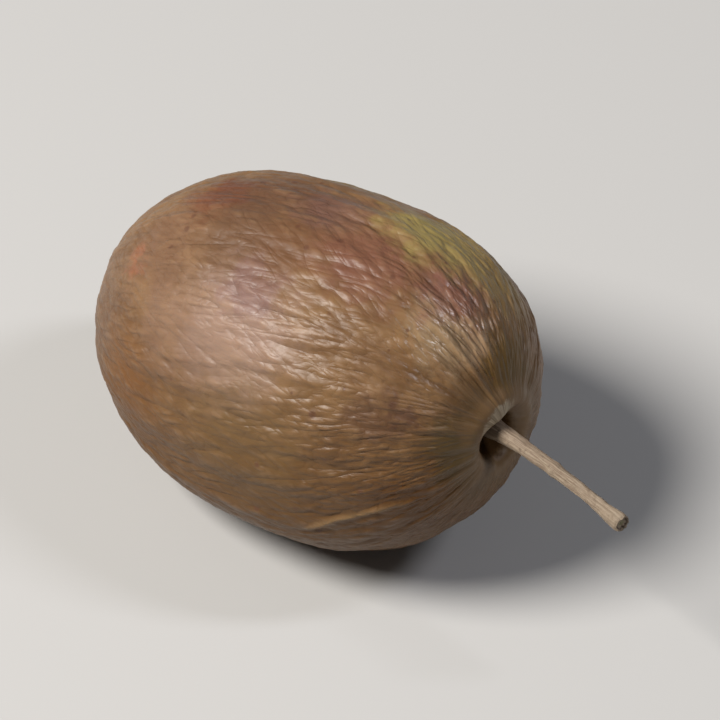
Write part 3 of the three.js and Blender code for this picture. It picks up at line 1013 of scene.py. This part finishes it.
def styleThreads(tree, given):   # curved lines that stand out from the disc, leaning more at its rim
    stepsPerThread = 12
    rootHeight = 0.25 * mm
    goldenTurn = math.pi * (3 - math.sqrt(5))
    index = addNode(tree, "GeometryNodeInputIndex").outputs["Index"]
    around = times(tree, index, goldenTurn)
    sine, cosine = calc(tree, "SINE", around), calc(tree, "COSINE", around)
    outShare = calc(tree, "SQRT", calc(tree, "DIVIDE", plus(tree, index, 0.5), given["Threads"]))
    out = times(tree, outShare, given["Disc Radius"])
    root = combine(tree, times(tree, out, cosine), times(tree, out, sine), rootHeight)
    points = addNode(tree, "GeometryNodePoints", {"Count": given["Threads"], "Position": root})
    marked = storeNumber(tree, points.outputs[0], "thread", index)
    line = addNode(tree, "GeometryNodeCurvePrimitiveLine", {"End": (0, 0, 1)}).outputs["Curve"]
    sockets = {"Curve": line, "Count": stepsPerThread}
    line = addNode(tree, "GeometryNodeResampleCurve", sockets).outputs["Curve"]
    unevenLean = randomNumber(tree, 0.45, 1.15, index, given["Seed"])
    sockets = {"Axis": combine(tree, times(tree, sine, -1.0), cosine, 0.0),
               "Angle": times(tree, times(tree, outShare, given["Splay"]), unevenLean)}
    turned = addNode(tree, "FunctionNodeAxisAngleToRotation", sockets).outputs["Rotation"]
    lengthSeed = plus(tree, given["Seed"], 1)
    length = randomNumber(tree, given["Least Length"], given["Greatest Length"], index, lengthSeed)
    sockets = {"Points": marked, "Instance": line, "Rotation": turned,
               "Scale": combine(tree, length, length, length)}
    threads = addNode(tree, "GeometryNodeInstanceOnPoints", sockets).outputs[0]
    return addNode(tree, "GeometryNodeRealizeInstances", {"Geometry": threads}).outputs["Geometry"]


def styleTuftTree():             # threads that stand out from the disc and curl
    tree, given, result = newShapeTree("dried style tuft", tuftShape, "Dried")
    share = addNode(tree, "GeometryNodeSplineParameter").outputs["Factor"]
    threads = storeNumber(tree, styleThreads(tree, given), "reach", share)
    ownSeed = times(tree, readAttribute(tree, "thread"), 3.7)
    place = addNode(tree, "GeometryNodeInputPosition").outputs["Position"]
    sway = noise(tree, scaleBy(tree, place, 0.9 / mm), 1.0, ownSeed, detail=0.0)
    sway = vectorCalc(tree, "SUBTRACT", sway.outputs["Color"], (0.5, 0.5, 0.55))
    curl = times(tree, calc(tree, "POWER", share, 1.4), times(tree, given["Curl"], 2.0))
    sockets = {"Geometry": threads, "Offset": scaleBy(tree, sway, curl)}
    threads = addNode(tree, "GeometryNodeSetPosition", sockets).outputs["Geometry"]
    taper = ramp(tree, share, 0.0, 0.85, 1.0, 0.42, kind="LINEAR")
    taper = plus(tree, taper, ramp(tree, share, 0.85, 1.0, 0.0, 0.3))
    sockets = {"Curve": threads, "Radius": taper}
    threads = addNode(tree, "GeometryNodeSetCurveRadius", sockets).outputs["Curve"]
    sockets = {"Resolution": 7, "Radius": given["Thickness"]}
    section = addNode(tree, "GeometryNodeCurvePrimitiveCircle", sockets).outputs["Curve"]
    sockets = {"Curve": threads, "Profile Curve": section, "Scale": taper, "Fill Caps": True}
    skin = addNode(tree, "GeometryNodeCurveToMesh", sockets)
    whole = addNode(tree, "GeometryNodeJoinGeometry")
    tree.links.new(given["Geometry"], whole.inputs[0])
    tree.links.new(skin.outputs["Mesh"], whole.inputs[0])
    endTree(tree, result, whole.outputs["Geometry"], given["Dried"])
    return tree


def buildStyles(form, fruitForm, centre, dried):
    share, turn = ringParameters(form["rows"], form["columns"])
    reach = -form["rootReach"] + (form["discHeight"] + form["rootReach"]) * smoothStep(share, 0, 0.62)
    radius = form["discRadius"] * np.sin(math.pi * np.clip(share, 0, 1)) ** 0.45
    lumps = 1 + 0.06 * np.sin(5 * turn + 1) + 0.05 * np.sin(9 * turn + 3 * share)
    dish = form["dish"] * smoothStep(share, 0.7, 1.0)
    radius = radius * lumps
    own = np.column_stack([radius * np.cos(turn), radius * np.sin(turn), reach - dish])
    faces = ringFaces(form["rows"], form["columns"])
    item = skinObject("styleTuft", own, faces, {"reach": 0.15 * share})
    applyTree(item, styleTuftTree(), {**tuftShape, "Dried": dried})
    outward = Matrix.Rotation(-math.pi / 2, 4, "Y")            # the tuft's own +Z becomes the fruit's -X
    dentFloor = fruitForm["blossomHalf"] - fruitForm["dentDepth"]
    foot = Matrix.Translation(Vector((-(dentFloor + form["seat"]), 0, 0)) * mm)
    tilt = Matrix.Rotation(-math.radians(fruitForm["lieTilt"]), 4, "Y")
    item.data.transform(Matrix.Translation(Vector(centre) * mm) @ tilt @ foot @ outward)
    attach(item, "root")
    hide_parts("style_remnants")
    print("styles:", len(item.data.polygons), "faces")


def makeDried(look):
    material, tree, surface, place = newFinish("dried styles")
    reach = readAttribute(tree, "reach")
    fine = fineGrain(tree, place, place, 5.0, 2.0, 8.0)
    grain = ramp(tree, fine["Grain"], 0.35, 0.65)
    colour = mixColour(tree, grain, paint(look["dark"]), paint(look["brown"]))
    tipShare = times(tree, ramp(tree, reach, 0.45, 1.0), fine["Strands"])
    colour = mixColour(tree, tipShare, colour, paint(look["tipColour"]))
    feed(tree, surface["Base Color"], colour)
    feed(tree, surface["Roughness"], ramp(tree, fine["Grain"], 0.3, 0.7, 0.7, 0.95))
    sockets = {"Height": fine["Grain"], "Strength": 1.0, "Distance": 0.04 * mm}
    bump = addNode(tree, "ShaderNodeBump", sockets)
    feed(tree, surface["Normal"], bump.outputs["Normal"])
    return material


# Everything, in order

buildStage(stageLook)
fruitShare, fruitTurn = ringParameters(fruit["rows"], fruit["columns"])
fruitCentre = centreFrom(tilted(fruit, fruitSurface(fruit, fruitShare, fruitTurn)))
buildFruit(fruit, fruitCentre, makeSkin(skinLook, skinTints, fruitCentre))
buildStalk(stalk, fruit, fruitCentre, makeBark(stalkLook))
buildStyles(styles, fruit, fruitCentre, makeDried(styleLook))

bpy.context.view_layer.update()
